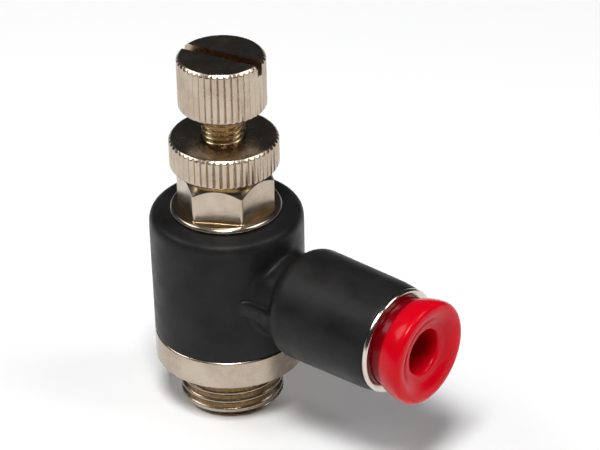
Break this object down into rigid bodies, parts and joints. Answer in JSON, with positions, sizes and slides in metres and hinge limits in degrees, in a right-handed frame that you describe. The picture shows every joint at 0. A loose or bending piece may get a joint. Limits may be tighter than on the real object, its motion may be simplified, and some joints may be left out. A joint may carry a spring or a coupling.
{
  "type": "flow control valve",
  "caption": "Right-angle pneumatic flow control valve with a threaded port, swivelling push-in tube elbow, hexagon bonnet, lock nut and knurled needle knob.",
  "frame": {"origin": "on the stud's axis, in the plane of the collar's sealing face", "axes": "+Z along the stud's axis from the port towards the knob; +X along the tube connector, the way the tube leaves"},
  "size_m": [0.031, 0.0144, 0.0364],
  "materials": {
    "nickel_plate": "satin nickel plating on turned brass",
    "brass": "fine-turned",
    "nitrile": "smooth moulded",
    "black_nylon": "moulded, slightly glossy",
    "red_acetal": "glossy moulded",
    "pale_acetal": "moulded",
    "spring_steel": "stamped"
  },
  "bodies": {
    "stud": {"threaded_stud": "nickel_plate", "hex_bonnet": "nickel_plate", "port_o_ring": "nitrile", "lower_elbow_o_ring": "nitrile", "upper_elbow_o_ring": "nitrile", "check_lip_seal": "nitrile"},
    "elbow": {"elbow_body": "black_nylon", "outlet_bush": "nickel_plate", "tube_seal": "nitrile", "seal_spacer": "pale_acetal", "claw_ring": "spring_steel"},
    "button": {"release_button": "red_acetal"},
    "spindle_seal": {"spindle_o_ring": "nitrile"},
    "spindle": {"needle_spindle": "brass", "knob": "nickel_plate"},
    "lock_nut": {"lock_nut": "nickel_plate"}
  },
  "joints": [
    {"name": "elbow_swivel", "type": "hinge", "parent": "stud", "child": "elbow", "pos_m": [0, 0, 0.00905], "axis": [0, 0, 1], "continuous": true},
    {"name": "button_press", "type": "slide", "parent": "elbow", "child": "button", "axis": [-1, 0, 0], "range_m": [0, 0.0008], "stiffness_N_per_m": 1200, "springref_m": -0.0005},
    {"name": "spindle_rise", "type": "slide", "parent": "stud", "child": "spindle_seal", "axis": [0, 0, 1], "range_m": [-0.0024, 0.0009]},
    {"name": "spindle_turn", "type": "hinge", "parent": "spindle_seal", "child": "spindle", "pos_m": [0, 0, 0.01425], "axis": [0, 0, 1], "range_deg": [-1730, 650]},
    {"name": "lock_nut_turn", "type": "hinge", "parent": "stud", "child": "lock_nut", "pos_m": [0, 0, 0.02185], "axis": [0, 0, 1], "range_deg": [0, 360]}
  ],
  "couplings": [
    {"joint": "spindle_turn", "follows": "spindle_rise", "rad_per_m": 12566}
  ]
}
